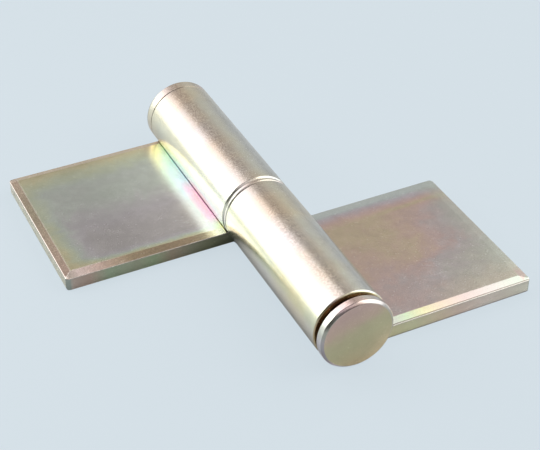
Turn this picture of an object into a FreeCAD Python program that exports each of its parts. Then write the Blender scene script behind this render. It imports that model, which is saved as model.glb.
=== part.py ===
# Heavy lift-off hinge: two curled steel leaves on one pin, with a thrust washer between them.
#
# The hinge lies flat, as on a bench. The pin's axis runs along Y, +Z is up and the leaves' flat
# undersides are at Z = 0. The fixed leaf points to +X at the -Y end, and the leaf that lifts off
# points to -X at the +Y end. The origin is under the middle of the whole hinge. Sizes are in
# millimetres.

import FreeCAD
import Part
import math
import os

Vector = FreeCAD.Vector

# The plate and its curl. The barrel's outside is the bore with the plate rolled round it.
plate_thickness = 6.0
bore_radius = 9.0
seam_gap = 0.3
barrel_radius = bore_radius + plate_thickness
axis_height = barrel_radius

# The leaves and knuckles.
leaf_reach = 81.0
knuckle_length = 76.5
lift_leaf_joint_setback = 2.0
lift_leaf_cap_setback = 0.2
fixed_leaf_joint_setback = 0.3
fixed_leaf_head_setback = 1.6

# How the turned ends of the knuckles are broken.
joint_end_chamfer = 0.8
head_end_chamfer = 0.5
cap_end_chamfer = 0.25
bore_mouth_chamfer = 0.6

# The hand-ground bevels on the leaves' top edges. Every bevel falls at one slope.
bevel_slope = 0.1
lift_front_bevel_outside = 4.5
lift_front_bevel_inside = 3.6
lift_side_bevel = 3.2
lift_back_bevel = 2.5
fixed_front_bevel_outside = 4.2
fixed_front_bevel_inside = 4.2
fixed_side_bevel = 3.5
fixed_back_bevel = 3.8
leaf_corner_radius = 1.5
leaf_edge_radius = 0.4

# The thrust washer between the two knuckles.
washer_thickness = 2.0
washer_edge_step = 0.2
washer_bore_clearance = 0.3
washer_edge_chamfer = 0.4

# The pin is pressed into the fixed knuckle and runs in the other one, where its tip stops short
# of the cap to leave room for grease.
head_gap = 2.4
head_thickness = 4.1
head_face_chamfer = 1.0
head_back_chamfer = 0.3
grease_space = 9.5
pin_running_clearance = 0.07
pin_tip_length = 4.0
pin_tip_drop = 1.6

# The cap that closes the top of the knuckle that lifts off.
cap_thickness = 5.0
cap_face_chamfer = 0.6
cap_back_chamfer = 0.25
spigot_length = 9.0
spigot_lead = 0.8

# Places along the axis, from the washer outwards to both ends.
near_stack = washer_thickness / 2 + knuckle_length + head_gap + head_thickness
far_stack = washer_thickness / 2 + knuckle_length + cap_thickness
joint_y = (near_stack - far_stack) / 2
washer_near_y = joint_y - washer_thickness / 2
washer_far_y = joint_y + washer_thickness / 2
fixed_knuckle_end_y = washer_near_y - knuckle_length
lift_knuckle_end_y = washer_far_y + knuckle_length
head_back_y = fixed_knuckle_end_y - head_gap
head_face_y = head_back_y - head_thickness
spigot_end_y = lift_knuckle_end_y - spigot_length
pin_tip_y = spigot_end_y - grease_space

TO_THE_RIGHT = 1
TO_THE_LEFT = -1
FULL_TURN = 360.0
Y_AXIS = Vector(0, 1, 0)


def on_section(side, radius, angle):
    """A point of the curl's cross-section, at a radius and angle about the pin's axis."""
    return Vector(side * radius * math.cos(angle), 0, axis_height + radius * math.sin(angle))


def curl_section(side):
    """The curled end of the plate: flat under the pin, once round it, and back to the leaf's top."""
    start = -math.pi / 2
    stop = math.asin((plate_thickness + seam_gap - barrel_radius) / barrel_radius) - 2 * math.pi
    middle = (start + stop) / 2
    root = side * bore_radius
    bottom_root = Vector(root, 0, 0)
    top_root = Vector(root, 0, plate_thickness)
    inner_start = on_section(side, bore_radius, start)
    inner_stop = on_section(side, bore_radius, stop)
    outer_stop = on_section(side, barrel_radius, stop)
    outer_start = on_section(side, barrel_radius, start)
    edges = [
        Part.LineSegment(bottom_root, top_root).toShape(),
        Part.LineSegment(top_root, inner_start).toShape(),
        Part.Arc(inner_start, on_section(side, bore_radius, middle), inner_stop).toShape(),
        Part.LineSegment(inner_stop, outer_stop).toShape(),
        Part.Arc(outer_stop, on_section(side, barrel_radius, middle), outer_start).toShape(),
        Part.LineSegment(outer_start, bottom_root).toShape(),
    ]
    return Part.Face(Part.Wire(edges))


def outer_rim(solid, y):
    """The edge round the outside of the curl at one end."""
    rims = []
    for edge in solid.Edges:
        on_the_end = abs(edge.CenterOfMass.y - y) < 1e-6
        is_round = isinstance(edge.Curve, Part.Circle)
        if on_the_end and is_round and abs(edge.Curve.Radius - barrel_radius) < 1e-6:
            rims.append(edge)
    return rims


def mouth_cone(y, outwards):
    """The countersink that a drill leaves in the mouth of a bore. It opens outwards."""
    wide = bore_radius + bore_mouth_chamfer
    centre = Vector(0, y - outwards * bore_mouth_chamfer, axis_height)
    return Part.makeCone(bore_radius, wide, bore_mouth_chamfer, centre, Y_AXIS * outwards)


def knuckle(side, low_y, low_chamfer, high_chamfer):
    """A curled knuckle with its two ends faced, broken outside and countersunk inside."""
    high_y = low_y + knuckle_length
    curl = curl_section(side).extrude(Y_AXIS * knuckle_length)
    curl.translate(Vector(0, low_y, 0))
    curl = curl.makeChamfer(low_chamfer, outer_rim(curl, low_y))
    curl = curl.makeChamfer(high_chamfer, outer_rim(curl, high_y))
    curl = curl.cut(mouth_cone(low_y, -1))
    return curl.cut(mouth_cone(high_y, 1))


def above_plane(inner_a, inner_b, outer):
    """A block whose underside is the plane through three points. It takes off what is above them."""
    normal = (inner_b - inner_a).cross(outer - inner_a)
    normal.normalize()
    if normal.z < 0:
        normal = normal * -1
    along = inner_b - inner_a
    along.normalize()
    across = normal.cross(along)
    span = leaf_reach + knuckle_length
    corner = inner_a - along * span - across * span
    corners = [corner, corner + along * 2 * span, corner + (along + across) * 2 * span]
    corners.append(corner + across * 2 * span)
    corners.append(corner)
    underside = Part.Face(Part.makePolygon(corners))
    return underside.extrude(normal * barrel_radius)


def bevel(leaf, edge_a, edge_b, inwards, width_a, width_b):
    """Grinds one top edge of a leaf, from width_a at edge_a to width_b at edge_b."""
    inner_a = edge_a + inwards * width_a
    inner_b = edge_b + inwards * width_b
    outer = edge_a - Vector(0, 0, width_a * bevel_slope)
    return leaf.cut(above_plane(inner_a, inner_b, outer))


def round_outer_corners(leaf, outer_x):
    """Rounds the two upright corners at the leaf's free end."""
    uprights = []
    for edge in leaf.Edges:
        low = edge.Vertexes[0].Point
        high = edge.Vertexes[-1].Point
        stands = abs(low.x - high.x) + abs(low.y - high.y) < 1e-6
        if stands and abs(low.x - outer_x) < 1e-6:
            uprights.append(edge)
    return leaf.makeFillet(leaf_corner_radius, uprights)


def ease_bottom_edges(leaf, root_x):
    """Takes the sharpness off the leaf's lower edges, all but the one that joins the knuckle."""
    lower = []
    for edge in leaf.Edges:
        box = edge.BoundBox
        at_root = abs(box.XMin - root_x) < 1e-6 and abs(box.XMax - root_x) < 1e-6
        if box.ZMax < 1e-6 and not at_root:
            lower.append(edge)
    return leaf.makeFillet(leaf_edge_radius, lower)


def leaf_plate(side, low_y, high_y, front_outside, front_inside, side_width, back_width):
    """The flat of a leaf, from under the curl to its free edge, with its ground bevels."""
    root_x = side * bore_radius
    outer_x = side * leaf_reach
    left_x = min(root_x, outer_x)
    blank = Part.makeBox(leaf_reach - bore_radius, high_y - low_y, plate_thickness,
                         Vector(left_x, low_y, 0))
    blank = round_outer_corners(blank, outer_x)
    blank = ease_bottom_edges(blank, root_x)
    front_outer = Vector(outer_x, low_y, plate_thickness)
    front_inner = Vector(root_x, low_y, plate_thickness)
    back_outer = Vector(outer_x, high_y, plate_thickness)
    back_inner = Vector(root_x, high_y, plate_thickness)
    to_root = Vector(-side, 0, 0)
    blank = bevel(blank, front_outer, front_inner, Y_AXIS, front_outside, front_inside)
    blank = bevel(blank, front_outer, back_outer, to_root, side_width, side_width)
    return bevel(blank, back_outer, back_inner, Y_AXIS * -1, back_width, back_width)


def fixed_leaf():
    """The leaf at the -Y end. Its knuckle holds the pin."""
    curl = knuckle(TO_THE_RIGHT, fixed_knuckle_end_y, head_end_chamfer, joint_end_chamfer)
    plate = leaf_plate(TO_THE_RIGHT,
                       fixed_knuckle_end_y + fixed_leaf_head_setback,
                       washer_near_y - fixed_leaf_joint_setback,
                       fixed_front_bevel_outside, fixed_front_bevel_inside,
                       fixed_side_bevel, fixed_back_bevel)
    return curl.fuse(plate).removeSplitter()


def lift_leaf():
    """The leaf at the +Y end. It turns on the pin and lifts off it."""
    curl = knuckle(TO_THE_LEFT, washer_far_y, joint_end_chamfer, cap_end_chamfer)
    plate = leaf_plate(TO_THE_LEFT,
                       washer_far_y + lift_leaf_joint_setback,
                       lift_knuckle_end_y - lift_leaf_cap_setback,
                       lift_front_bevel_outside, lift_front_bevel_inside,
                       lift_side_bevel, lift_back_bevel)
    return curl.fuse(plate).removeSplitter()


def turned(profile):
    """A lathe part about the pin's axis, from (radius, y) points of half its section."""
    points = [Vector(radius, y, axis_height) for radius, y in profile]
    section = Part.Face(Part.makePolygon(points + points[:1]))
    return section.revolve(Vector(0, 0, axis_height), Y_AXIS, FULL_TURN)


def hinge_pin():
    """The pin: a chamfered disc head, the pressed shank, and the running length with its tip."""
    running_radius = bore_radius - pin_running_clearance
    return turned([
        (0, head_face_y),
        (barrel_radius - head_face_chamfer, head_face_y),
        (barrel_radius, head_face_y + head_face_chamfer),
        (barrel_radius, head_back_y - head_back_chamfer),
        (barrel_radius - head_back_chamfer, head_back_y),
        (bore_radius, head_back_y),
        (bore_radius, washer_near_y - bore_mouth_chamfer),
        (running_radius, washer_near_y - bore_mouth_chamfer),
        (running_radius, pin_tip_y - pin_tip_length),
        (running_radius - pin_tip_drop, pin_tip_y),
        (0, pin_tip_y),
    ])


def thrust_washer():
    """The plain washer that the lifting knuckle turns and rests on."""
    outside = barrel_radius - washer_edge_step
    inside = bore_radius + washer_bore_clearance
    return turned([
        (inside, washer_near_y),
        (outside - washer_edge_chamfer, washer_near_y),
        (outside, washer_near_y + washer_edge_chamfer),
        (outside, washer_far_y - washer_edge_chamfer),
        (outside - washer_edge_chamfer, washer_far_y),
        (inside, washer_far_y),
    ])


def end_cap():
    """The disc that closes the top knuckle, with its spigot pressed into the bore."""
    cap_face_y = lift_knuckle_end_y + cap_thickness
    return turned([
        (0, spigot_end_y),
        (bore_radius - spigot_lead, spigot_end_y),
        (bore_radius, spigot_end_y + spigot_lead),
        (bore_radius, lift_knuckle_end_y),
        (barrel_radius - cap_back_chamfer, lift_knuckle_end_y),
        (barrel_radius, lift_knuckle_end_y + cap_back_chamfer),
        (barrel_radius, cap_face_y - cap_face_chamfer),
        (barrel_radius - cap_face_chamfer, cap_face_y),
        (0, cap_face_y),
    ])


pieces = {
    "fixed_leaf": fixed_leaf,
    "hinge_pin": hinge_pin,
    "thrust_washer": thrust_washer,
    "lift_leaf": lift_leaf,
    "end_cap": end_cap,
}

os.makedirs("parts", exist_ok=True)
for node, build in pieces.items():
    shape = build()
    shape.exportStep("parts/" + node + ".step")
    print(node, "solids", len(shape.Solids), "valid", shape.isValid(), "volume", round(shape.Volume))
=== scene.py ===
# %% [markdown]
# A heavy lift-off hinge lies flat on a pale table. Two leaves of 6 mm steel plate are curled
# round one pin, and the whole hinge is zinc plated and dipped in yellow chromate, which leaves a
# satin metal with faint rainbow tints. Each piece below is made the way the workshop makes it:
# the leaves are a flat blank that is ground and then bent, and the rest is turned on a lathe.
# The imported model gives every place, so this script only adds finish and finer edges.

# %% Load the frame
import bpy
import bmesh
import math
from mathutils import Matrix, Vector
from types import SimpleNamespace


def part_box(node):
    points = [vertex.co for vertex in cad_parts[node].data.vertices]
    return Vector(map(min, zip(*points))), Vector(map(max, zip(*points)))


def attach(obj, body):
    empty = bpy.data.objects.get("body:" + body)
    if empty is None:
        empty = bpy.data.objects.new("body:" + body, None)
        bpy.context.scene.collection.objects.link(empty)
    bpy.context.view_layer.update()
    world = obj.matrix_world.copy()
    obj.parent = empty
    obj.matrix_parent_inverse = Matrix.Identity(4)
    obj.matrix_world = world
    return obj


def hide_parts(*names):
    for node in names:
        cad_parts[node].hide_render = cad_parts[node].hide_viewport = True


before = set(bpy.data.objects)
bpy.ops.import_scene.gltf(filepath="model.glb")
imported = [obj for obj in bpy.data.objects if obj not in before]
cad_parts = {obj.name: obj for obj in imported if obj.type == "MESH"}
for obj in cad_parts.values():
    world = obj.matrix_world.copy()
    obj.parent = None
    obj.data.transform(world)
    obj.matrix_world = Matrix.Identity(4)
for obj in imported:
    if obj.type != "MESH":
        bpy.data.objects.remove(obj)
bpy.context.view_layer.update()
print("nodes", sorted(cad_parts))

# %% [markdown]
# Every size comes from the frame where a box can give it: the pin's axis, the barrel, the
# knuckles' ends and the leaves' reach. The rest are the workshop's own sizes, in millimetres:
# the gauge of the plate, the bore, and how far each edge is ground or broken.

# %% Sizes shared by the pieces
MM = 0.001
fixed_low, fixed_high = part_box("fixed_leaf")
lift_low, lift_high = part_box("lift_leaf")
pin_low, pin_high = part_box("hinge_pin")
washer_low, washer_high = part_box("thrust_washer")
cap_low, cap_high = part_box("end_cap")

barrel_radius = fixed_high.z / 2
plate = 6.0 * MM
bore_radius = barrel_radius - plate
seam_gap = 0.3 * MM
leaf_reach = fixed_high.x
print("barrel radius", round(barrel_radius / MM, 3), "leaf reach", round(leaf_reach / MM, 3), "mm")

# %% [markdown]
# A meshed edge is never knife sharp: on the real hinge the plating rounds every corner, and that
# small round is what catches the light. One helper gives the section of an edge: a straight
# facet, wide for a ground bevel and narrow for a broken edge, with a small round at each end.
# Quadratic curves are used for the rounds, because they need only the corner and two lengths.

# %% The section of an edge
ROUND_STEPS = 4


def curve_points(start, corner, stop):
    """Points of a small round that leaves start towards corner and arrives at stop."""
    points = []
    for step in range(ROUND_STEPS + 1):
        t = step / ROUND_STEPS
        points.append(start * (1 - t) ** 2 + corner * 2 * t * (1 - t) + stop * t ** 2)
    return points


def edge_section(inset, drop, face_round, side_round):
    """(inset, drop) points from a face, down a facet, to the side. Both ends are rounded."""
    top = Vector((inset, 0))
    foot = Vector((0, drop))
    length = (foot - top).length
    down = (foot - top) / length
    face_reach = min(face_round, length / 2)
    side_reach = min(side_round, length / 2)
    brink = curve_points(top + Vector((face_round, 0)), top, top + down * face_reach)
    return brink + curve_points(foot - down * side_reach, foot, foot + Vector((0, side_round)))


print("points in an edge", len(edge_section(1 * MM, 1 * MM, 0.2 * MM, 0.2 * MM)))

# %% [markdown]
# A leaf starts as a flat blank. Its length runs from the free edge to the pin, and on round the
# curl to the cut end. The blank is built as stations along that length, and each station is one
# closed loop round the plate's section. The grinding is done on the flat blank, as sums on each
# loop, and the bend then rolls the far part of the blank round the pin. Building flat and bending
# after keeps every edge a clean row of quads, which a boolean cut would not.

# %% The bend


def bend(side, s, y, w):
    """Where a point of the flat blank lies after curling. s is the length along its underside."""
    if s >= 0:
        return Vector((side * s, y, w))
    angle = -math.pi / 2 + s / barrel_radius
    radius = barrel_radius - w
    return Vector((side * radius * math.cos(angle), y, barrel_radius + radius * math.sin(angle)))


seam_angle = math.asin((plate + seam_gap - barrel_radius) / barrel_radius)
curl_length = barrel_radius * (2 * math.pi - math.pi / 2 - seam_angle)
print("length of plate in a curl", round(curl_length / MM, 1), "mm")

# %% [markdown]
# The two blanks are cut and ground by hand, so their sizes differ a little. Each is a short table
# of named sizes. A leaf stands back from the faced ends of its knuckle, and a bevel has one width
# at the pin and another at the free side, because a hand grinder seldom keeps a line.

# %% The two blanks
fixed_blank = {
    "reach": leaf_reach,
    "curl_low": fixed_low.y,
    "curl_high": fixed_high.y,
    "leaf_low": fixed_low.y + 1.6 * MM,
    "leaf_high": fixed_high.y - 0.3 * MM,
    "low_bevel": (4.2 * MM, 4.0 * MM),
    "high_bevel": (3.8 * MM, 3.8 * MM),
    "side_bevel": 3.5 * MM,
    "low_break": 0.5 * MM,
    "high_break": 0.8 * MM,
    "mouth": 0.6 * MM,
}
lift_blank = {
    "reach": -lift_low.x,
    "curl_low": lift_low.y,
    "curl_high": lift_high.y,
    "leaf_low": lift_low.y + 2.0 * MM,
    "leaf_high": lift_high.y - 0.2 * MM,
    "low_bevel": (3.6 * MM, 4.5 * MM),
    "high_bevel": (2.5 * MM, 2.5 * MM),
    "side_bevel": 3.2 * MM,
    "low_break": 0.8 * MM,
    "high_break": 0.25 * MM,
    "mouth": 0.6 * MM,
}
for blank in (fixed_blank, lift_blank):
    print("blank", round((curl_length + blank["reach"]) / MM, 1), "mm long on its underside")

# %% [markdown]
# A station is the plate's section at one length: a closed loop of points across the width and
# through the thickness. Every loop has the same number of points, so neighbours join by quads. The
# bevels, the broken edges and the free corner are worked out from the distance to an edge, and
# each edge changes gently on its way from the leaf on to the curl.

# %% One station of the blank
BEVEL_SLOPE = 0.1
TOP_ROWS = 44
SIDE_ROWS = 5
EDGE_BREAK = 0.16 * MM
FOOT_ROUND = 0.4 * MM
CREASE_ROUND = 0.22 * MM
BRINK_ROUND = 0.2 * MM
CORNER_RADIUS = 1.5 * MM
SETBACK_LENGTH = 0.5 * MM
FADE_LENGTH = 2.0 * MM


def blend(a, b, t):
    """From a at t = 0 to b at t = 1, gently at both ends."""
    t = min(max(t, 0.0), 1.0)
    t = t * t * (3 - 2 * t)
    return a + (b - a) * t


def round_off(distance, radius):
    """How far a face has fallen at a distance from an edge that is rounded to a radius."""
    if distance >= radius:
        return 0.0
    return radius - math.sqrt(radius ** 2 - (radius - distance) ** 2)


def spread(first, last, count):
    """Evenly spaced numbers, both ends left out."""
    return [first + (last - first) * (i + 1) / (count + 1) for i in range(count)]


def station(leaf, s):
    """The closed loop of (y, w) points round the plate's section at a length s."""
    on_leaf = (s - bore_radius) / SETBACK_LENGTH
    on_curl = -s / FADE_LENGTH
    free = leaf["reach"] - s
    corner = round_off(free, CORNER_RADIUS)
    low = blend(leaf["curl_low"], leaf["leaf_low"], on_leaf) + corner
    high = blend(leaf["curl_high"], leaf["leaf_high"], on_leaf) - corner
    along = (s - bore_radius) / (leaf["reach"] - bore_radius)
    side_ground = max(0.0, leaf["side_bevel"] - free)
    top = plate - side_ground * BEVEL_SLOPE - round_off(free, BRINK_ROUND)
    foot = round_off(free, FOOT_ROUND)
    sections = {}
    for edge, y_break in (("low", leaf["low_break"]), ("high", leaf["high_break"])):
        inside, outside = leaf[edge + "_bevel"]
        ground = max(inside + (outside - inside) * along - side_ground, EDGE_BREAK)
        depth = max(ground * BEVEL_SLOPE, EDGE_BREAK)
        mouth_inset = blend(blend(EDGE_BREAK, ground, on_leaf), leaf["mouth"], on_curl)
        mouth_drop = blend(blend(EDGE_BREAK, depth, on_leaf), leaf["mouth"], on_curl)
        rim = blend(EDGE_BREAK, y_break, on_curl)
        sections[edge + "_top"] = edge_section(mouth_inset, mouth_drop, CREASE_ROUND, BRINK_ROUND)
        sections[edge + "_foot"] = edge_section(rim, rim, EDGE_BREAK, EDGE_BREAK)
    low_top = [(low + inset, top - drop) for inset, drop in sections["low_top"]]
    high_top = [(high - inset, top - drop) for inset, drop in sections["high_top"]]
    low_foot = [(low + inset, foot + drop) for inset, drop in sections["low_foot"]]
    high_foot = [(high - inset, foot + drop) for inset, drop in sections["high_foot"]]
    loop = [(y, top) for y in spread(low_top[0][0], high_top[0][0], TOP_ROWS)]
    loop += high_top
    loop += [(high, w) for w in spread(high_top[-1][1], high_foot[-1][1], SIDE_ROWS)]
    loop += high_foot[::-1]
    loop += [(y, foot) for y in spread(high_foot[0][0], low_foot[0][0], TOP_ROWS)]
    loop += low_foot
    loop += [(low, w) for w in spread(low_foot[-1][1], low_top[-1][1], SIDE_ROWS)]
    loop += low_top[::-1]
    return loop


print("points round a station", len(station(fixed_blank, leaf_reach / 2)))

# %% [markdown]
# The stations lie close together where the form turns, round the curl and at the free corner, and
# a millimetre apart on the flat. Weighted normals keep the broad faces flat in the light, while
# the small rounds still shade smoothly.

# %% A curled leaf
CURL_STEP = math.radians(2.0)
LEAF_STEP = 1.0 * MM
ROOT_ROWS = 9
SETBACK_ROWS = 6
CREASE_STEP = 0.1 * MM
BEVEL_ROWS = 3
CORNER_ANGLES = range(0, 90, 6)
BROAD_FACE_WEIGHT = 80


def leaf_lengths(leaf):
    """The lengths of the stations, from the cut end of the curl to the leaf's free edge."""
    turns = round(curl_length / barrel_radius / CURL_STEP)
    flat_start = bore_radius + SETBACK_LENGTH
    crease = leaf["reach"] - leaf["side_bevel"]
    corner = leaf["reach"] - CORNER_RADIUS
    rows = round((crease - flat_start) / LEAF_STEP)
    lengths = [-curl_length * (1 - i / turns) for i in range(turns)]
    lengths += [bore_radius * i / ROOT_ROWS for i in range(ROOT_ROWS)]
    lengths += [bore_radius + SETBACK_LENGTH * i / SETBACK_ROWS for i in range(SETBACK_ROWS)]
    lengths += [flat_start + (crease - flat_start) * i / rows for i in range(rows)]
    lengths += [crease, crease + CREASE_STEP]
    lengths += spread(crease + CREASE_STEP, corner, BEVEL_ROWS)
    lengths += [corner + CORNER_RADIUS * math.sin(math.radians(a)) for a in CORNER_ANGLES]
    lengths.append(leaf["reach"])
    return lengths


def curled_leaf(name, side, leaf):
    """The mesh of one leaf: the ground blank, bent round the pin."""
    mesh = bmesh.new()
    rings = []
    for s in leaf_lengths(leaf):
        rings.append([mesh.verts.new(bend(side, s, y, w)) for y, w in station(leaf, s)])
    for ring, following in zip(rings, rings[1:]):
        for i in range(len(ring)):
            mesh.faces.new((ring[i - 1], ring[i], following[i], following[i - 1]))
    mesh.faces.new(rings[0])
    mesh.faces.new(rings[-1])
    return finished_piece(name, mesh)


def finished_piece(name, mesh):
    """Turns a bmesh into a smooth-shaded object whose broad faces keep their own direction."""
    bmesh.ops.recalc_face_normals(mesh, faces=mesh.faces)
    data = bpy.data.meshes.new(name)
    mesh.to_mesh(data)
    mesh.free()
    for face in data.polygons:
        face.use_smooth = True
    piece = bpy.data.objects.new(name, data)
    bpy.context.scene.collection.objects.link(piece)
    weighting = piece.modifiers.new("broad faces stay flat", "WEIGHTED_NORMAL")
    weighting.weight = BROAD_FACE_WEIGHT
    print(name, "faces", len(data.polygons))
    return piece


print("stations along a leaf", len(leaf_lengths(fixed_blank)))

# %% [markdown]
# Now the fixed leaf is bent one way and the lifting leaf the other. The two meshes are closed, so
# they can also be milled or printed.

# %% Both leaves
fixed_plate = curled_leaf("fixed_leaf_plate", 1, fixed_blank)
lift_plate = curled_leaf("lift_leaf_plate", -1, lift_blank)

# %% [markdown]
# The pin, the washer and the cap come off a lathe, so each is a half section turned about the
# pin's axis. The section's corners are rounded by the same kind of curve as the leaves' edges,
# each by its own small radius.

# %% Turning
TURN_STEPS = 180


def rounded_profile(corners):
    """(radius, y) points of a section. Each corner is (radius, y, round), with 0 for none."""
    points = []
    for i, (radius, y, amount) in enumerate(corners):
        here = Vector((radius, y))
        if amount == 0:
            points.append(here)
            continue
        before = Vector(corners[i - 1][:2]) - here
        after = Vector(corners[(i + 1) % len(corners)][:2]) - here
        start = here + before.normalized() * min(amount, before.length / 2)
        stop = here + after.normalized() * min(amount, after.length / 2)
        points += curve_points(start, here, stop)
    return points


def turned_piece(name, corners, closed=False):
    """A turned piece about the pin's axis. An open section starts and ends on the axis."""
    profile = rounded_profile(corners)
    mesh = bmesh.new()
    rings = []
    for point in profile:
        if point.x == 0:
            rings.append([mesh.verts.new((0, point.y, barrel_radius))] * TURN_STEPS)
            continue
        ring = []
        for step in range(TURN_STEPS):
            angle = 2 * math.pi * step / TURN_STEPS
            across = point.x * math.cos(angle)
            height = barrel_radius + point.x * math.sin(angle)
            ring.append(mesh.verts.new((across, point.y, height)))
        rings.append(ring)
    pairs = list(zip(rings, rings[1:]))
    if closed:
        pairs.append((rings[-1], rings[0]))
    for ring, following in pairs:
        for i in range(TURN_STEPS):
            corners_used = []
            for vert in (ring[i - 1], ring[i], following[i], following[i - 1]):
                if vert not in corners_used:
                    corners_used.append(vert)
            mesh.faces.new(corners_used)
    return finished_piece(name, mesh)


print("facets round a turn", TURN_STEPS)

# %% [markdown]
# The pin has a head with a chamfered face, a part that is pressed in the fixed knuckle, and a
# thinner part with a tapered tip that the other knuckle runs on. It is one half section, listed
# from the middle of the head to the tip.

# %% The pin
FINE = 0.12 * MM
FLAT_MIDDLE = 8.0 * MM
head_chamfer = 1.0 * MM
head_round = 0.35 * MM
head_back_chamfer = 0.3 * MM
head_face_y = pin_low.y
head_back_y = head_face_y + 4.1 * MM
shoulder_y = fixed_high.y - fixed_blank["mouth"]
running_radius = bore_radius - 0.07 * MM
tip_length = 4.0 * MM
tip_drop = 1.6 * MM
pin = turned_piece("hinge_pin_turned", [
    (0, head_face_y, 0),
    (FLAT_MIDDLE, head_face_y, 0),
    (barrel_radius - head_chamfer, head_face_y, head_round),
    (barrel_radius, head_face_y + head_chamfer, head_round),
    (barrel_radius, head_back_y - head_back_chamfer, FINE),
    (barrel_radius - head_back_chamfer, head_back_y, FINE),
    (bore_radius, head_back_y, 0),
    (bore_radius, shoulder_y, FINE),
    (running_radius, shoulder_y, 0),
    (running_radius, pin_high.y - tip_length, FINE),
    (running_radius - tip_drop, pin_high.y, FINE),
    (0, pin_high.y, 0),
])

# %% [markdown]
# The thrust washer is a plain ring, so its section is closed and never reaches the axis. It runs
# on the pin with a little clearance, and its edges are broken on both sides.

# %% The thrust washer
washer_bore = bore_radius + 0.3 * MM
washer_radius = washer_high.x
washer_break = 0.4 * MM
washer = turned_piece("thrust_washer_turned", [
    (washer_bore, washer_low.y, FINE),
    (washer_radius - washer_break, washer_low.y, FINE),
    (washer_radius, washer_low.y + washer_break, FINE),
    (washer_radius, washer_high.y - washer_break, FINE),
    (washer_radius - washer_break, washer_high.y, FINE),
    (washer_bore, washer_high.y, FINE),
], closed=True)

# %% [markdown]
# The end cap is a disc with a spigot that is pressed into the lifting knuckle. The spigot has a
# lead to find the bore, and the disc lies on the knuckle's end.

# %% The end cap
cap_seat_y = lift_high.y
spigot_lead = 0.8 * MM
cap_seat_chamfer = 0.25 * MM
cap_chamfer = 0.6 * MM
cap = turned_piece("end_cap_turned", [
    (0, cap_low.y, 0),
    (bore_radius - spigot_lead, cap_low.y, FINE),
    (bore_radius, cap_low.y + spigot_lead, FINE),
    (bore_radius, cap_seat_y, 0),
    (barrel_radius - cap_seat_chamfer, cap_seat_y, FINE),
    (barrel_radius, cap_seat_y + cap_seat_chamfer, FINE),
    (barrel_radius, cap_high.y - cap_chamfer, FINE),
    (barrel_radius - cap_chamfer, cap_high.y, FINE),
    (FLAT_MIDDLE, cap_high.y, 0),
    (0, cap_high.y, 0),
])

# %% [markdown]
# The finish is written as sums on sockets. One small class wraps a socket, so that 1 - mask adds
# a Math node, and one class holds a material's tree and adds any other node.

# %% Shader maths


class Wire:
    """A socket that gives a value or a colour. Sums on it add Math nodes."""

    def __init__(self, tree, socket):
        self.tree = tree
        self.socket = socket

    def __add__(self, other):
        return self.tree.maths("ADD", self, other)

    def __radd__(self, other):
        return self.tree.maths("ADD", other, self)

    def __sub__(self, other):
        return self.tree.maths("SUBTRACT", self, other)

    def __rsub__(self, other):
        return self.tree.maths("SUBTRACT", other, self)

    def __mul__(self, other):
        return self.tree.maths("MULTIPLY", self, other)

    def __rmul__(self, other):
        return self.tree.maths("MULTIPLY", other, self)

    def __truediv__(self, other):
        return self.tree.maths("DIVIDE", self, other)

    def __rtruediv__(self, other):
        return self.tree.maths("DIVIDE", other, self)

    def clamped(self):
        return self.tree.node("ShaderNodeClamp", {}, {0: self, 1: 0.0, 2: 1.0})


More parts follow.
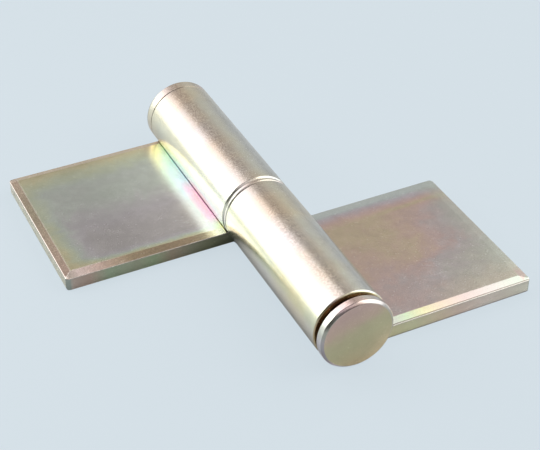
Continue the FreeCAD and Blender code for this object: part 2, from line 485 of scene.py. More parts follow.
class Finish:
    """The node tree of one material, or of the world."""

    def __init__(self, owner, place="Object"):
        self.owner = owner
        owner.use_nodes = True
        self.tree = owner.node_tree
        self.tree.nodes.clear()
        self.place = self.node("ShaderNodeTexCoord", {}, {}, place)

    def node(self, kind, settings, inputs, output=0):
        """Adds a node. Its settings are set first, then the values or links of its sockets."""
        made = self.tree.nodes.new(kind)
        for key, value in settings.items():
            if key == "stops":
                self.set_stops(made.color_ramp, value)
            else:
                setattr(made, key, value)
        for key, value in inputs.items():
            if isinstance(value, Wire):
                self.tree.links.new(value.socket, made.inputs[key])
            else:
                made.inputs[key].default_value = value
        return Wire(self, made.outputs[output])

    def set_stops(self, ramp, stops):
        """Gives a ramp its (place, colour) stops."""
        while len(ramp.elements) < len(stops):
            ramp.elements.new(1.0)
        for element, (where, colour) in zip(ramp.elements, stops):
            element.position = where
            element.color = (*colour, 1.0)

    def maths(self, operation, first, second=0.0):
        """A sum of two numbers, or the operation on the first alone."""
        return self.node("ShaderNodeMath", {"operation": operation}, {0: first, 1: second})

    def axes(self, vector=None):
        """The three numbers of a vector, the place on the piece if none is given."""
        source = vector or self.place
        return [self.node("ShaderNodeSeparateXYZ", {}, {0: source}, axis) for axis in (0, 1, 2)]

    def noise(self, scale, detail=3.0, stretch=(1, 1, 1), shift=0.0, rough=0.5, turn=0.0, curl=0.0):
        """Noise from 0 to 1 over the piece. The scale is in lumps to a metre."""
        place = self.node("ShaderNodeMapping", {"vector_type": "TEXTURE"},
                          {"Vector": self.place, "Scale": [1 / s for s in stretch],
                           "Rotation": (0.0, 0.0, turn), "Location": (shift, shift, shift)})
        return self.node("ShaderNodeTexNoise", {},
                         {"Vector": place, "Scale": scale, "Detail": detail, "Roughness": rough,
                          "Distortion": curl})

    def step(self, value, start, stop):
        """0 below start and 1 above stop, with a soft ramp between."""
        return self.node("ShaderNodeMapRange", {"interpolation_type": "SMOOTHSTEP"},
                         {0: value, 1: start, 2: stop, 3: 0.0, 4: 1.0})

    def mix(self, factor, first, second, way="MIX"):
        """Two colours mixed, the second by the factor."""
        return self.node("ShaderNodeMix", {"data_type": "RGBA", "blend_type": way},
                         {0: factor, 6: paint(first), 7: paint(second)}, 2)

    def ramp(self, value, stops):
        """A colour for each value."""
        return self.node("ShaderNodeValToRGB", {"stops": stops}, {0: value})

    def metal(self, colour, roughness, height, depth):
        """The closing shader: a bare metal with this colour, roughness and height."""
        normal = self.node("ShaderNodeBump", {}, {"Height": height, "Strength": 1.0,
                                                  "Distance": depth}, "Normal")
        shader = self.node("ShaderNodeBsdfPrincipled", {},
                           {"Base Color": colour, "Metallic": 1.0, "Roughness": roughness,
                            "Normal": normal})
        self.close("ShaderNodeOutputMaterial", shader)
        return self.owner

    def close(self, kind, shader):
        """Joins a shader to the output node."""
        self.tree.links.new(shader.socket, self.tree.nodes.new(kind).inputs["Surface"])


def paint(colour):
    """A plain (red, green, blue) gets the fourth number that a colour socket wants."""
    if isinstance(colour, Wire):
        return colour
    return (*colour, 1.0)


# %% [markdown]
# The yellow chromate is a clear film about a light wave thick, so its colour comes from its
# thickness, as on oil on water: brown and gold where it is thin along the ground edges, then olive,
# green, blue-grey and lilac towards the middle of a leaf. Each leaf gets one number for the
# thickness, made from the distances to its edges and a slow noise, and one ramp turns that number
# into the colour. That gives the soft cloudy bands of the real part with few nodes.

# %% Places, bands and tints
AXIS = barrel_radius / MM
PALE_METAL = (0.92, 0.90, 0.86)
GRIME = (0.10, 0.075, 0.05)


def in_millimetres(finish):
    """The place on the piece as three numbers in millimetres."""
    return [axis * (1 / MM) for axis in finish.axes()]


def band(finish, value, middle, half_width):
    """1 where a number is near a middle value, 0 past a distance on each side."""
    away = finish.maths("ABSOLUTE", value - middle)
    return 1 - finish.step(away, half_width * 0.5, half_width)


def tone(finish, colour, amount):
    """A colour made lighter or darker by a number, or tinted by another colour."""
    return finish.mix(1.0, colour, amount, "MULTIPLY")


print("the pin's axis is", round(AXIS, 2), "mm up")

# %% [markdown]
# Zinc from a plating barrel is satin: bright, but not smooth. Close up it has a cloudy grain, the
# faint orange peel of bent plate, straight scratches from handling and small pale specks. All of
# it is noise of a real size, in the colour, in the roughness and in a bump a few microns deep.

# %% Satin zinc
SCRATCH_DEPTH = 0.009 * MM


def satin(finish, colour, marks, peeled):
    """Closes a finish as satin metal: pale scuffs where marks is 1, orange peel where peeled is."""
    peel = finish.noise(700.0, 3.0)
    fine = finish.noise(2400.0, 2.0)
    cloud = finish.noise(220.0, 5.0, shift=0.3, rough=0.65)
    colour = tone(finish, colour, 0.85 + cloud * 0.24 + fine * 0.06)
    colour = finish.mix(marks * 0.55, colour, PALE_METAL)
    roughness = 0.20 + cloud * 0.07 + fine * 0.03 + marks * 0.12
    relief = (peel + fine * 0.35) * (0.35 + peeled * 0.50) - marks * 0.25
    return finish.metal(colour, roughness, relief, SCRATCH_DEPTH)


def scuffs(finish, where):
    """Straight pale scratches two ways and fine specks, thicker where a mask is 1."""
    strokes = finish.noise(1000.0, 1.0, stretch=(0.05, 1, 1), shift=0.7, turn=0.7)
    crossed = finish.noise(800.0, 1.0, stretch=(0.07, 1, 1), shift=1.3, turn=-0.5)
    specks = finish.noise(1400.0, 2.0, shift=1.9)
    lines = finish.step(strokes, 0.73, 0.80) * 0.5 + finish.step(crossed, 0.74, 0.81) * 0.4
    return (lines + finish.step(specks, 0.68, 0.74) * 0.9) * where


def dress(piece, material):
    """Puts a finish on a piece."""
    piece.data.materials.append(material)
    print(piece.name, "wears", material.name, "with", len(material.node_tree.nodes), "nodes")


# %% [markdown]
# Round the barrel the colour changes with the angle. It carries the film's tints and also painted
# light and shade: cream and green on the flank over the lifting leaf, painted bright there as part
# of the highlight; brown along the ridge, painted darker and pinker where the highlight ends; and
# grey towards the fixed leaf, painted darker there as shade. One ramp over the angle gives that,
# with a slow noise so that no border is a straight line. Low on the fixed knuckle, on the lifting
# leaf's side, the colour is painted paler and bluer, as a reflection of the table.
# Handling has rubbed the ridge, so it carries a fine light and dark grain there, in patches.

# %% The film and painted light round the barrel
FILM_START = -120
FILM_STOP = 80


def barrel_film_light_and_shade(finish, x, y, z):
    """The colour round a knuckle: film tints with painted light and shade. The angle is 0 on top
    and grows to the fixed leaf's side.
    """
    angle = finish.maths("ARCTAN2", x, z - AXIS) * (180 / math.pi)
    wander = finish.noise(45.0, 4.0, stretch=(1, 0.6, 1), shift=4.0, rough=0.6) - 0.5
    around = (angle + wander * 16 - FILM_START) / (FILM_STOP - FILM_START)
    # Painted light and shade in this ramp: the bright stops near 0.25 widen the highlight, the dark
    # pink stops from 0.47 to 0.54 end it, and the dark stops from 0.77 on stand in for shade.
    colour = finish.ramp(around, [
        (0.05, (0.66, 0.67, 0.62)),
        (0.10, (0.68, 0.70, 0.64)),
        (0.15, (0.74, 0.76, 0.68)),
        (0.20, (0.84, 0.87, 0.77)),
        (0.25, (0.95, 0.98, 0.84)),
        (0.30, (0.80, 0.81, 0.68)),
        (0.35, (0.74, 0.74, 0.62)),
        (0.40, (0.85, 0.82, 0.74)),
        (0.47, (0.67, 0.60, 0.58)),
        (0.51, (0.65, 0.57, 0.53)),
        (0.54, (0.62, 0.55, 0.50)),
        (0.57, (0.70, 0.63, 0.56)),
        (0.61, (0.77, 0.71, 0.61)),
        (0.66, (0.74, 0.72, 0.62)),
        (0.72, (0.69, 0.67, 0.60)),
        (0.77, (0.56, 0.55, 0.51)),
        (0.82, (0.55, 0.56, 0.53)),
        (0.88, (0.62, 0.61, 0.57)),
    ])
    tint = finish.ramp(finish.noise(34.0, 3.0, shift=7.0), [
        (0.36, (0.97, 1.00, 1.04)),
        (0.50, (1.00, 1.00, 0.98)),
        (0.64, (1.05, 0.99, 0.89)),
    ])
    colour = tone(finish, colour, tint)
    # Painted reflection of the table: low on the fixed knuckle's flank, on the lifting leaf's side,
    # the colour is made paler and bluer.
    painted_low_flank = (1 - finish.step(angle, -88, -72)) * (1 - finish.step(y, -6, 0))
    colour = finish.mix(painted_low_flank, colour, tone(finish, colour, (1.26, 1.21, 1.40)))
    ridge = finish.step(angle, -27, -17) * (1 - finish.step(angle, -8, 10))
    grit = finish.noise(1250.0, 3.0, rough=0.65)
    patchy = finish.step(finish.noise(40.0, 2.0, shift=11.0), 0.38, 0.62) * 0.5 + 0.3
    patchy = patchy + finish.step(y, 5, 40) * 0.4
    rubbed = finish.mix(finish.step(grit, 0.42, 0.62), (0.83, 0.79, 0.76), (1.10, 1.09, 1.08))
    return finish.mix(ridge * patchy, colour, tone(finish, colour, rubbed))


print("the barrel's film runs from", FILM_START, "to", FILM_STOP, "degrees")

# %% [markdown]
# Dark lines mark the joints, where oil collects. Behind the pin's head the knuckle's faced end
# shows through a narrow gap: it is brown, painted pale on its lit upper right and dark brown on its
# lower left, and painted almost black near the pin as the shade deep in the gap.

# %% The joints


def with_joints(finish, colour, x, y, z):
    """Dark lines where two pieces meet, and a brown ring behind the pin's head with painted light
    and shade.
    """
    lines = (band(finish, y, washer_low.y / MM, 0.2) * 0.5
             + band(finish, y, washer_high.y / MM, 0.2) * 0.8
             + band(finish, y, cap_seat_y / MM, 0.3) * 0.8)
    colour = finish.mix(lines.clamped(), colour, GRIME)
    above = z - AXIS
    gap = finish.step(y, head_back_y / MM - 0.2, head_back_y / MM) * (
        1 - finish.step(y, fixed_low.y / MM + 0.2, fixed_low.y / MM + 0.6))
    # Painted light and shade: the gap's ring is pale on its upper right and dark brown on its lower
    # left.
    browned_and_shaded = finish.ramp(0.5 + x / 50 + above / 60, [
        (0.10, (0.58, 0.51, 0.34)),
        (0.30, (0.52, 0.40, 0.26)),
        (0.45, (0.72, 0.62, 0.40)),
        (0.58, (0.60, 0.44, 0.36)),
        (0.70, (0.74, 0.66, 0.46)),
        (0.95, (0.86, 0.84, 0.66)),
    ])
    radius = finish.maths("SQRT", x * x + above * above)
    # Painted shade: the ring goes almost black towards the pin.
    browned_and_shaded = finish.mix(finish.step(radius, 12.2, 14.4), (0.13, 0.07, 0.035), browned_and_shaded)
    return finish.mix(gap, colour, browned_and_shaded)


print("joint lines at", [round(y / MM, 1) for y in (washer_low.y, washer_high.y, cap_seat_y)], "mm")

# %% [markdown]
# A leaf's colours follow its edges, so the first helper measures from them. It gives the place, the
# distances from the free, low and high edges, and three masks: the curled knuckle, the top with its
# bevels, and the upright faces.

# %% Where a point lies on a leaf
PLATE = plate / MM
LEAF_REACH = leaf_reach / MM


def leaf_place(finish, side, leaf):
    """The place on a leaf, the distances from three edges and the masks of its regions."""
    x, y, z = in_millimetres(finish)
    outwards = x * side
    under_pin = 1 - finish.step(outwards, bore_radius / MM, bore_radius / MM + 0.5)
    above = finish.step(z, PLATE + 0.2, PLATE + 1.0)
    knuckle = finish.maths("MAXIMUM", above, under_pin)
    return SimpleNamespace(
        x=x, y=y, z=z,
        free=leaf["reach"] / MM - outwards,
        low=y - leaf["leaf_low"] / MM,
        high=leaf["leaf_high"] / MM - y,
        knuckle=knuckle,
        top=finish.step(z, PLATE - 0.8, PLATE - 0.65) * (1 - knuckle),
        side=1 - finish.step(z, PLATE - 0.7, PLATE - 0.5),
    )


print("leaf", round(LEAF_REACH, 1), "mm from the pin,", round(PLATE, 1), "mm thick")

# %% [markdown]
# On the lifting leaf the film is thin and golden at the back and side, then olive, green-grey, and
# lilac in the middle. The three distances make one thickness between 0 and 1, a slow noise moves
# the borders, and a ramp gives the colours. Towards the knuckle the leaf is painted lighter, as
# painted light.

# %% The lifting leaf's top


def lift_top(finish, at, drift, swirl):
    """Gold and olive borders round a lilac-grey middle, painted lighter towards the knuckle."""
    from_back = (finish.step(at.high + swirl * 9, -3.0, 19.0) * 0.5
                 + finish.step(at.high + swirl * 16, 28.0, 60.0) * 0.5)
    from_side = finish.step(at.free + at.y * 0.2 + swirl * 9, 3.0, 25.0)
    from_front = finish.step(at.low + swirl * 5, 2.0, 10.5)
    thickness = from_back * from_side * from_front + drift * 0.22
    surface_colour = finish.ramp(thickness, [
        (0.00, (0.61, 0.54, 0.35)),
        (0.10, (0.67, 0.63, 0.43)),
        (0.22, (0.62, 0.64, 0.47)),
        (0.35, (0.59, 0.64, 0.52)),
        (0.48, (0.57, 0.62, 0.57)),
        (0.62, (0.57, 0.57, 0.57)),
        (0.80, (0.54, 0.52, 0.54)),
        (1.00, (0.52, 0.50, 0.50)),
    ])
    # Painted light: the leaf is made up to 30 percent lighter towards the knuckle.
    return tone(finish, surface_colour, 1 + finish.step(at.x, -58, -22) * 0.30)


# %% [markdown]
# Beside the seam a pale rainbow runs from yellow at the back through mint and blue to a pink
# streak. It is partly the film's tint and partly a painted reflection of the barrel's bright
# highlight in the leaf. It is a second ramp, along the seam.

# %% The rainbow and painted reflection beside the seam


def seam_rainbow_and_reflection(finish, at, swirl, surface_colour):
    """The rainbow tint and the painted reflection of the barrel along the seam, laid over the
    leaf's top.
    """
    along = (lift_high.y / MM - at.y + (at.x + 26) * 2.2 + swirl * 8) / 100
    by_seam = finish.ramp(along, [
        (0.18, (0.93, 0.78, 0.55)),
        (0.26, (0.92, 0.86, 0.45)),
        (0.31, (0.88, 0.94, 0.55)),
        (0.37, (0.74, 0.97, 0.74)),
        (0.46, (0.66, 0.91, 0.88)),
        (0.55, (0.71, 0.85, 0.90)),
        (0.68, (0.74, 0.82, 0.88)),
        (0.82, (0.80, 0.84, 0.84)),
        (0.89, (0.78, 0.88, 0.80)),
        (0.94, (0.80, 0.94, 0.60)),
        (0.99, (0.88, 0.86, 0.50)),
    ])
    pink = finish.step(at.x + swirl * 2, -17.6, -15.2) * band(finish, at.y + swirl * 6, 27.0, 19.0)
    by_seam = finish.mix(pink, by_seam, (0.97, 0.66, 0.82))
    # Painted reflection with the film's tint: the pale band replaces the leaf's colour beside the
    # seam.
    return finish.mix(finish.step(at.x, -23.5, -15.5), surface_colour, by_seam)


# %% [markdown]
# The bevels were ground before the dip and took it as a speckled brown, which changes slowly along
# each one. The front bevel widens towards the free side and meets the side bevel in a mitre, so its
# crease is one more distance, and both the bevel and the worn line beside it use it.

# %% The ground bevels
LIFT_SIDE_BEVEL = lift_blank["side_bevel"] / MM
LIFT_FRONT_BEVEL = lift_blank["low_bevel"][1] / MM
FRONT_TAPER = 0.0115


def front_crease(finish, at):
    """The distance from the front edge, with the taper and the mitre of its bevel added."""
    mitre = finish.maths("MAXIMUM", LIFT_SIDE_BEVEL - at.free, 0.0)
    return at.low + at.free * FRONT_TAPER + mitre


def lift_bevels(finish, at, crease, swirl, speckle, surface_colour):
    """Speckled brown on the side, front and back bevels."""
    freckled = 0.80 + finish.step(speckle, 0.34, 0.68) * 0.38
    side_ground = 1 - finish.step(at.free, LIFT_SIDE_BEVEL - 0.3, LIFT_SIDE_BEVEL)
    side_brown = finish.ramp(at.y / 80, [
        (0.08, (0.47, 0.35, 0.29)),
        (0.40, (0.51, 0.41, 0.32)),
        (0.65, (0.44, 0.38, 0.28)),
        (0.94, (0.60, 0.48, 0.38)),
    ])
    surface_colour = finish.mix(side_ground, surface_colour, tone(finish, side_brown, freckled))
    front_ground = 1 - finish.step(crease, LIFT_FRONT_BEVEL - 0.2, LIFT_FRONT_BEVEL + 0.1)
    front_brown = finish.ramp(at.free / 70 + swirl * 0.1, [
        (0.03, (0.52, 0.44, 0.39)),
        (0.09, (0.74, 0.60, 0.56)),
        (0.19, (0.72, 0.55, 0.48)),
        (0.28, (0.60, 0.46, 0.36)),
        (0.39, (0.47, 0.37, 0.25)),
        (0.60, (0.45, 0.35, 0.24)),
        (0.76, (0.56, 0.44, 0.30)),
        (0.87, (0.64, 0.57, 0.39)),
        (0.93, (0.88, 0.88, 0.64)),
    ])
    surface_colour = finish.mix(front_ground, surface_colour, tone(finish, front_brown, freckled * 0.8 + 0.2))
    back_ground = 1 - finish.step(at.high, 2.2, 2.6)
    return finish.mix(back_ground * 0.75, surface_colour, tone(finish, (0.84, 0.71, 0.60), freckled))


print("front bevel", LIFT_FRONT_BEVEL, "mm wide at the free side")

# %% [markdown]
# Along the creases and the outer edges a thin pale line is painted: partly handling wear, broken up
# by the same speckle, and partly a painted highlight where the rounded edge catches the light. The
# upright faces are dark brown and green, painted darker towards the knuckle as shade and lighter
# low down, but the end face is painted pale as a reflection of the table. The rounded corner's foot
# is pale too.

# %% Highlight and worn lines, and upright faces


def lift_highlights_and_wear(finish, at, crease, speckle, surface_colour):
    """Pale broken lines along the creases and the outer edges, partly wear and partly painted
    highlight.
    """
    corner_side = 1 - finish.step(at.free, 14.0, 30.0)
    off_front = finish.step(at.low, 4.2, 4.6)
    creases = (band(finish, at.free, LIFT_SIDE_BEVEL + 0.05, 0.4) * 0.55 * off_front
               + band(finish, crease, LIFT_FRONT_BEVEL, 0.4) * 0.6 * corner_side)
    front_brink = 1 - finish.step(at.low, 0.12, 0.4)
    side_brink = 1 - finish.step(at.free, 0.12, 0.4)
    brinks = (front_brink + side_brink).clamped()
    # Painted highlight and wear: pale lines on the creases and edges of the top.
    highlight_and_wear = (creases * finish.step(speckle, 0.40, 0.58) + brinks * 0.8).clamped() * at.top
    return finish.mix(highlight_and_wear, surface_colour, (0.93, 0.84, 0.78))


def lift_faces(finish, at, drift, surface_colour):
    """The dark front face, painted darker towards the knuckle as shade and lighter low down, the
    end face painted pale as a reflection of the table, and the grey corner between them.
    """
    front = (1 - finish.step(at.low, 0.0, 0.06)) * at.side
    # Painted shade: the front face darkens towards the knuckle.
    face_tint_and_shade = finish.ramp(at.free / 70 + drift * 0.12 * finish.step(at.free, 1.0, 6.0), [
        (0.01, (0.33, 0.37, 0.34)),
        (0.04, (0.42, 0.35, 0.31)),
        (0.13, (0.44, 0.34, 0.29)),
        (0.25, (0.33, 0.40, 0.29)),
        (0.42, (0.34, 0.36, 0.27)),
        (0.53, (0.31, 0.38, 0.25)),
        (0.64, (0.36, 0.30, 0.23)),
        (0.76, (0.31, 0.31, 0.23)),
        (0.88, (0.25, 0.26, 0.17)),
        (0.98, (0.21, 0.22, 0.15)),
    ])
    # Painted light: the front face is lighter low down.
    surface_colour = finish.mix(front, surface_colour, tone(finish, face_tint_and_shade, 1.44 - at.z * 0.07))
    # Painted reflection of the table: the end face is pale.
    end = (1 - finish.step(at.free, 0.0, 0.06)) * at.side
    surface_colour = finish.mix(end, surface_colour, (0.88, 0.87, 0.73))
    upright = (1 - finish.step(at.free + at.low, 1.4, 2.0)) * at.side
    return finish.mix(upright, surface_colour, (0.34, 0.38, 0.35))


# %% [markdown]
# The regions are laid one over the next: top, rainbow with its painted reflection, bevels, pale
# lines of wear and painted highlight, upright faces with their painted light and shade, and last
# the knuckle. Scratches and brushed clouds lie over the lower middle, where hands hold the leaf.

# %% The lifting leaf's finish


def lift_leaf_finish():
    """Everything on the lifting leaf, in one material."""
    finish = Finish(bpy.data.materials.new("lift_leaf_chromate"))
    at = leaf_place(finish, -1, lift_blank)
    drift = finish.noise(30.0, 4.0, shift=2.0, rough=0.6) - 0.5
    swirl = finish.noise(90.0, 5.0, shift=5.0, rough=0.65, curl=0.8) - 0.5
    speckle = finish.noise(1500.0, 4.0, shift=8.0, rough=0.75)
    crease = front_crease(finish, at)
    surface_colour = lift_top(finish, at, drift, swirl)
    surface_colour = seam_rainbow_and_reflection(finish, at, swirl, surface_colour)
    surface_colour = lift_bevels(finish, at, crease, swirl, speckle, surface_colour)
    surface_colour = lift_highlights_and_wear(finish, at, crease, speckle, surface_colour)
    surface_colour = lift_faces(finish, at, drift, surface_colour)
    colour = finish.mix(at.knuckle, surface_colour, barrel_film_light_and_shade(finish, at.x, at.y, at.z))
    colour = with_joints(finish, colour, at.x, at.y, at.z)
    brushed = finish.noise(75.0, 6.0, shift=3.0, rough=0.7, curl=1.2)
    lower_middle = (1 - finish.step(at.low, 8.0, 38.0)) * finish.step(at.free, 4.0, 16.0)
    clouds = finish.step(brushed, 0.48, 0.72) * lower_middle * (1 - at.knuckle) * 0.22
    return satin(finish, colour, scuffs(finish, 0.2 + lower_middle * 0.3) + clouds, at.knuckle)


dress(lift_plate, lift_leaf_finish())

# %% [markdown]
# The fixed leaf was dipped with its back edge lowest. Its film runs from blue-green at that edge to
# lilac, pink, tan and grey, and ends green at the free side.

# %% The fixed leaf's top


def fixed_top(finish, at, drift, swirl):
    """A blue-green back border, then pink, tan and grey, and green at the free end."""
    at_free_end = finish.step(at.x + swirl * 20, 44.0, 72.0)
    thickness = (finish.step(at.high + swirl * 3, 2.5, 15.0) * 0.5
                 + finish.step(at.high + swirl * 16, 36.0, 58.0) * 0.22
                 + at_free_end * finish.step(at.high, 6.0, 18.0) * 0.24
                 + drift * 0.42 * finish.step(at.high, 3.0, 8.0))
    surface_colour = finish.ramp(thickness, [
        (0.02, (0.65, 0.71, 0.71)),
        (0.10, (0.65, 0.60, 0.64)),
        (0.24, (0.71, 0.56, 0.54)),
        (0.36, (0.74, 0.58, 0.49)),
        (0.47, (0.70, 0.60, 0.44)),
        (0.56, (0.71, 0.56, 0.47)),
        (0.66, (0.68, 0.54, 0.51)),
        (0.78, (0.62, 0.57, 0.57)),
        (0.90, (0.62, 0.60, 0.56)),
        (1.00, (0.62, 0.62, 0.54)),
    ])
    green = finish.step(at.x + swirl * 10, 68.0, 80.0)
    surface_colour = finish.mix(green * 0.6, surface_colour, (0.61, 0.67, 0.58))
    along_front = 1 - finish.step(at.low + swirl * 12, 5.0, 18.0)
    tanned = along_front * finish.step(at.x + swirl * 12, 36.0, 52.0)
    surface_colour = finish.mix(tanned * 0.6, surface_colour, (0.73, 0.65, 0.53))
    back_ground = 1 - finish.step(at.high, 3.5, 4.0)
    return finish.mix(back_ground * 0.6, surface_colour, (0.66, 0.72, 0.70))


# %% [markdown]
# The front bevel is almost bare and shows clean interference tints. The front face under it is a
# warm grey with streaks along it, painted lighter low down, and a fine dark burr runs along the
# edge between the two, with its shadow painted in the same line. A pale line along the brinks is a
# painted highlight, and the foot is painted dark as shade where the plate meets the table.

# %% The fixed leaf's bevel and faces


def fixed_bevel(finish, at, swirl, surface_colour):
    """Clean tints along the front bevel, and a brown corner beside it."""
    front_ground = 1 - finish.step(at.low, 3.9, 4.3)
    bevel_tint = finish.ramp(at.x / LEAF_REACH + swirl * 0.06, [
        (0.26, (0.80, 0.84, 0.74)),
        (0.33, (0.76, 0.90, 0.64)),
        (0.42, (0.90, 0.86, 0.54)),
        (0.51, (0.86, 0.72, 0.57)),
        (0.64, (0.75, 0.62, 0.58)),
        (0.80, (0.69, 0.64, 0.60)),
        (0.92, (0.61, 0.66, 0.57)),
    ])
    surface_colour = finish.mix(front_ground, surface_colour, bevel_tint)

    corner = (1 - finish.step(at.free, 2.8, 3.4)) * finish.step(at.low + at.free, 3.2, 4.0)
    return finish.mix(corner * (1 - finish.step(at.low, 5.0, 10.0)), surface_colour, (0.68, 0.57, 0.52))


def fixed_faces(finish, at, drift, surface_colour):
    """The streaked front face painted lighter low down, the brinks' painted highlight, the dark
    line of the burred edge with its painted shadow, and the foot's painted shade.
    """
    front = (1 - finish.step(at.low, 0.0, 0.06)) * at.side
    streak = finish.noise(300.0, 3.0, stretch=(0.05, 1, 1), shift=2.5) - 0.5
    face_tint_and_shade = finish.ramp(at.x / LEAF_REACH + drift * 0.12, [
        (0.22, (0.72, 0.68, 0.45)),
        (0.36, (0.72, 0.72, 0.50)),
        (0.48, (0.79, 0.69, 0.53)),
        (0.60, (0.77, 0.64, 0.56)),
        (0.74, (0.82, 0.72, 0.66)),
        (0.96, (0.75, 0.73, 0.63)),
    ])
    # Painted light: the front face is lighter low down.
    face_tint_and_shade = tone(finish, face_tint_and_shade, 1.36 - at.z * 0.07 + streak * 0.4)
    surface_colour = finish.mix(front, surface_colour, face_tint_and_shade)
    # Painted highlight: a pale line along the top's brinks.
    brink = ((1 - finish.step(at.low, 0.2, 0.3)) + (1 - finish.step(at.free, 0.1, 0.35))).clamped()
    surface_colour = finish.mix(brink * at.top, surface_colour, (0.76, 0.73, 0.67))
    # A burr with its painted shadow: a dark line just inside the front edge.
    burr_and_shadow = band(finish, at.low + streak * 0.2, 0.52, 0.32) * at.top
    surface_colour = finish.mix(burr_and_shadow * 0.85, surface_colour, (0.24, 0.20, 0.16))
    # Painted shade: the plate goes dark where it meets the table.
    foot = 1 - finish.step(at.z, 0.35, 0.8)
    return finish.mix(foot * 0.75, surface_colour, (0.22, 0.17, 0.20))


# %% [markdown]
# The flank of the fixed knuckle stands over the table. It is tinted yellower, and low down it is
# painted darker as shade. That is laid over the knuckle before the joints are drawn.

# %% The fixed leaf's finish


def fixed_leaf_finish():
    """Everything on the fixed leaf, in one material."""
    finish = Finish(bpy.data.materials.new("fixed_leaf_chromate"))
    at = leaf_place(finish, 1, fixed_blank)
    drift = finish.noise(42.0, 5.0, shift=6.0, rough=0.65) - 0.5
    swirl = finish.noise(110.0, 5.0, shift=9.0, rough=0.65, curl=0.8) - 0.5
    surface_colour = fixed_top(finish, at, drift, swirl)
    surface_colour = fixed_bevel(finish, at, swirl, surface_colour)
    surface_colour = fixed_faces(finish, at, drift, surface_colour)
    outwards = 0 - at.x
    # Painted shade: the low flank over the table is made up to about half darker.
    painted_low_flank = finish.step(outwards, 10.0, 15.0) * (1 - finish.step(at.z, 9.0, 15.5)) * 0.48
    barrel = barrel_film_light_and_shade(finish, at.x, at.y, at.z)
    barrel = finish.mix(finish.step(outwards, 9.0, 13.0), barrel, (1.0, 0.98, 0.86), "MULTIPLY")
    colour = finish.mix(at.knuckle, surface_colour, tone(finish, barrel, 1 - painted_low_flank))
    colour = with_joints(finish, colour, at.x, at.y, at.z)
    brushed = finish.noise(70.0, 6.0, shift=1.0, rough=0.7, curl=1.2)
    near_front = (1 - finish.step(at.low, 10.0, 50.0)) * finish.step(at.x, 16.0, 50.0)
    clouds = finish.step(brushed, 0.48, 0.72) * near_front * (1 - at.knuckle) * 0.20
    return satin(finish, colour, scuffs(finish, 0.3 + near_front * 0.4) + clouds, at.knuckle)


dress(fixed_plate, fixed_leaf_finish())

# %% [markdown]
# The pin, the cap and the washer are turned from bar. Their rims carry the same bands as the
# knuckles, with the same painted light and shade, a little pinker, and on the left, in the
# millimetre beside the face, the rim is painted darker as shade. A flat end has soft tints across
# it, from pink to olive and gold.

# %% The turned parts' film and painted shade


def turned_finish(name, face_y):
    """Turned zinc. The flat end has its own slow bands, the rim is as the knuckles', painted darker
    on the left beside the face as shade.
    """
    finish = Finish(bpy.data.materials.new(name))
    x, y, z = in_millimetres(finish)
    drift = finish.noise(60.0, 5.0, shift=1.0, rough=0.6) - 0.5
    across = (z - AXIS) * 0.034 - x * 0.012 + 0.5 + drift * 0.4
    face_film = finish.ramp(across, [
        (0.06, (0.90, 0.75, 0.50)),
        (0.22, (0.73, 0.66, 0.44)),
        (0.42, (0.64, 0.62, 0.41)),
        (0.58, (0.62, 0.58, 0.40)),
        (0.72, (0.65, 0.52, 0.43)),
        (0.90, (0.63, 0.48, 0.44)),
    ])
    off_face = finish.maths("ABSOLUTE", y - face_y / MM)
    on_face = 1 - finish.step(off_face, 0.02, 0.08)
    rim_film_and_light = barrel_film_light_and_shade(finish, x, y, z)
    pink = finish.step(finish.noise(90.0, 2.0, shift=12.0), 0.52, 0.66)
    blush = finish.mix(pink, (1.0, 0.97, 0.97), (1.06, 0.90, 0.93))
    rim_film_and_light = tone(finish, rim_film_and_light, blush)
    # Painted shade: on the left the rim beside the face is up to half darker.
    shadow_side = (1 - finish.step(x, -13, -8)) * (1 - finish.step(off_face, 0.9, 1.1))
    rim_film_and_light = tone(finish, rim_film_and_light, 1 - shadow_side * 0.5)
    colour = with_joints(finish, finish.mix(on_face, rim_film_and_light, face_film), x, y, z)
    return satin(finish, colour, scuffs(finish, 0.3), 0.4)


dress(pin, turned_finish("pin_chromate", pin_low.y))
dress(cap, turned_finish("cap_chromate", cap_high.y))
dress(washer, turned_finish("washer_chromate", washer_high.y))

# %% [markdown]
# Each finished piece takes the place of the plain solid of the same form, and rides its body, so
# the poses move it. The leaves are pressed plate and the rest is turned, so they have a slot each.

# %% Dress the frame
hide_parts("fixed_leaf")
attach(fixed_plate, "fixed_half")
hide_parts("hinge_pin")
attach(pin, "fixed_half")
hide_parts("thrust_washer")
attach(washer, "washer")
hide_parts("lift_leaf")
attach(lift_plate, "lift_half")
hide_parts("end_cap")
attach(cap, "lift_half")

print("pieces in place", [piece.name for piece in (fixed_plate, pin, washer, lift_plate, cap)])

# %% [markdown]
# The hinge lies on a pale blue-grey table. The camera sees the table almost evenly lit, while the
# metal mirrors it as a matt surface that takes shade, so the underside of the barrel stays dark.

# %% The table
TABLE_COLOUR = (0.672, 0.764, 0.826)
table_mesh = bmesh.new()
bmesh.ops.create_grid(table_mesh, x_segments=1, y_segments=1, size=3.0)
table_data = bpy.data.meshes.new("table")
table_mesh.to_mesh(table_data)
table_mesh.free()
table = bpy.data.objects.new("table", table_data)
table.location.z = -0.02 * MM
bpy.context.scene.collection.objects.link(table)
table_finish = Finish(bpy.data.materials.new("table_paint"))
glow = table_finish.node("ShaderNodeEmission", {}, {"Color": (*TABLE_COLOUR, 1.0), "Strength": 1.0})
matt = table_finish.node("ShaderNodeBsdfDiffuse", {}, {"Color": (0.66, 0.68, 0.69, 1.0)})
seen = table_finish.node("ShaderNodeLightPath", {}, {}, "Is Camera Ray")
both = table_finish.node("ShaderNodeMixShader", {}, {0: seen * 0.85, 1: matt, 2: glow})
table_finish.close("ShaderNodeOutputMaterial", both)
table_data.materials.append(table_finish.owner)
print("table", round(table.dimensions.x, 2), "m wide")

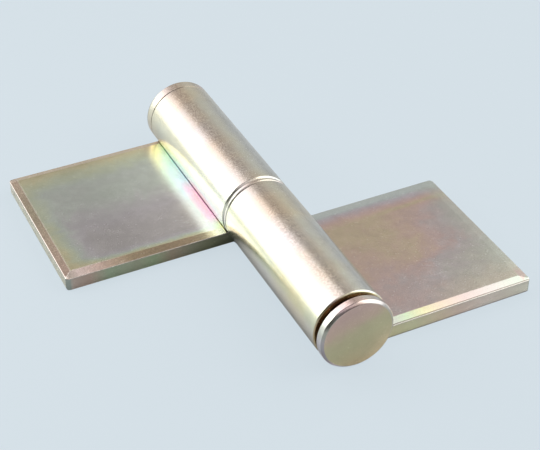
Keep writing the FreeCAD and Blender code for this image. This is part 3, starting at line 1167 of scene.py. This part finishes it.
# %% [markdown]
# Bright metal looks like what stands round it, so the lamps are placed for their reflections. The
# key softbox stands behind on the left and is the long highlight on the barrel. The window softbox
# stands on the right, and the front softbox lights the chamfers. A small lamp that faces down
# lights the table on the left, and whitens the flank over the lifting leaf.

# %% The lights


def softbox(name, direction, distance, width, height, strength, roll=0.0):
    """A flat lamp that faces the hinge from a direction."""
    lamp = bpy.data.lights.new(name, "AREA")
    lamp.shape = "RECTANGLE"
    lamp.size = width
    lamp.size_y = height
    lamp.energy = strength * width * height * math.pi
    stand = bpy.data.objects.new(name, lamp)
    stand.location = Vector(direction).normalized() * distance
    facing = Vector(direction).to_track_quat("Z", "Y").to_matrix()
    stand.rotation_euler = (facing @ Matrix.Rotation(roll, 3, "Z")).to_euler()
    bpy.context.scene.collection.objects.link(stand)
    return stand


softbox("key_softbox", (-0.4482, 0.6783, 0.5819), distance=1.5,
        width=0.8, height=2.37, strength=1.4, roll=math.radians(28.8))
softbox("window_softbox", (0.837, -0.10, 0.537), distance=1.5,
        width=2.2, height=1.9, strength=1.6)
softbox("front_softbox", (-0.1, -0.62, 0.78), distance=1.5,
        width=1.2, height=0.5, strength=0.9)
table_lamp = softbox("table_softbox", (-0.42, 0.14, 0.26), distance=0.513,
                     width=0.26, height=0.26, strength=4.2)
table_lamp.rotation_euler = (0.0, 0.0, 0.0)

# %% [markdown]
# The room is a soft grey that darkens towards the ceiling, which the tops of the leaves mirror. It
# is dark behind the camera and light low down behind the hinge, where the flank mirrors it.

# %% The room
TOWARDS_CAMERA = (-0.55, -0.83, 0.05)
LOW_BEHIND = (-0.62, 0.77, 0.12)
room = Finish(bpy.data.worlds.new("studio"), "Generated")
up = room.axes()[2]
walls = room.ramp(up, [
    (0.0, (0.50, 0.52, 0.53)),
    (0.15, (0.54, 0.55, 0.55)),
    (0.3, (0.60, 0.60, 0.58)),
    (0.5, (0.54, 0.52, 0.50)),
    (0.66, (0.48, 0.46, 0.44)),
    (0.8, (0.40, 0.39, 0.37)),
    (1.0, (0.32, 0.32, 0.32)),
])
toward = room.node("ShaderNodeVectorMath", {"operation": "DOT_PRODUCT"},
                   {0: room.place, 1: TOWARDS_CAMERA}, "Value")
dim = room.mix(room.step(toward, -0.1, 0.8), walls, (0.12, 0.12, 0.12))
behind = room.node("ShaderNodeVectorMath", {"operation": "DOT_PRODUCT"},
                   {0: room.place, 1: LOW_BEHIND}, "Value")
lit = room.mix(room.step(behind, 0.88, 0.98), dim, (0.76, 0.78, 0.79))
room.close("ShaderNodeOutputWorld", room.node("ShaderNodeBackground", {}, {"Color": lit}))
bpy.context.scene.world = room.owner
bpy.context.scene.view_settings.view_transform = "Standard"
print("room nodes", len(room.tree.nodes))

# %% [markdown]
# The camera stands in front on the left, about 37 degrees up, with a long lens. Its place was
# fitted to the hinge's corners and edges, and it is rolled by a quarter of a degree.

# %% The camera
CAMERA_TURN = -0.4489
CAMERA_HEIGHT = 0.6489
CAMERA_ROLL = -0.004
CAMERA_TARGET = Vector((8.64, 7.51, 0.0)) * MM
CAMERA_DISTANCE = 573.2 * MM
CAMERA_LENS = 92.13
SENSOR_WIDTH = 36.0

camera_data = bpy.data.cameras.new("camera")
camera_data.lens = CAMERA_LENS
camera_data.sensor_width = SENSOR_WIDTH
camera = bpy.data.objects.new("camera", camera_data)
bpy.context.scene.collection.objects.link(camera)
backwards = Vector((math.sin(CAMERA_TURN) * math.cos(CAMERA_HEIGHT),
                    -math.cos(CAMERA_TURN) * math.cos(CAMERA_HEIGHT),
                    math.sin(CAMERA_HEIGHT)))
rightwards = Vector((math.cos(CAMERA_TURN), math.sin(CAMERA_TURN), 0.0))
upwards = backwards.cross(rightwards)
level = Matrix((rightwards, upwards, backwards)).transposed()
camera.matrix_world = (Matrix.Translation(CAMERA_TARGET + backwards * CAMERA_DISTANCE)
                       @ (level @ Matrix.Rotation(CAMERA_ROLL, 3, "Z")).to_4x4())
bpy.context.scene.camera = camera
print("camera", round(CAMERA_DISTANCE, 3), "m away,",
      round(math.degrees(CAMERA_HEIGHT), 1), "degrees up")
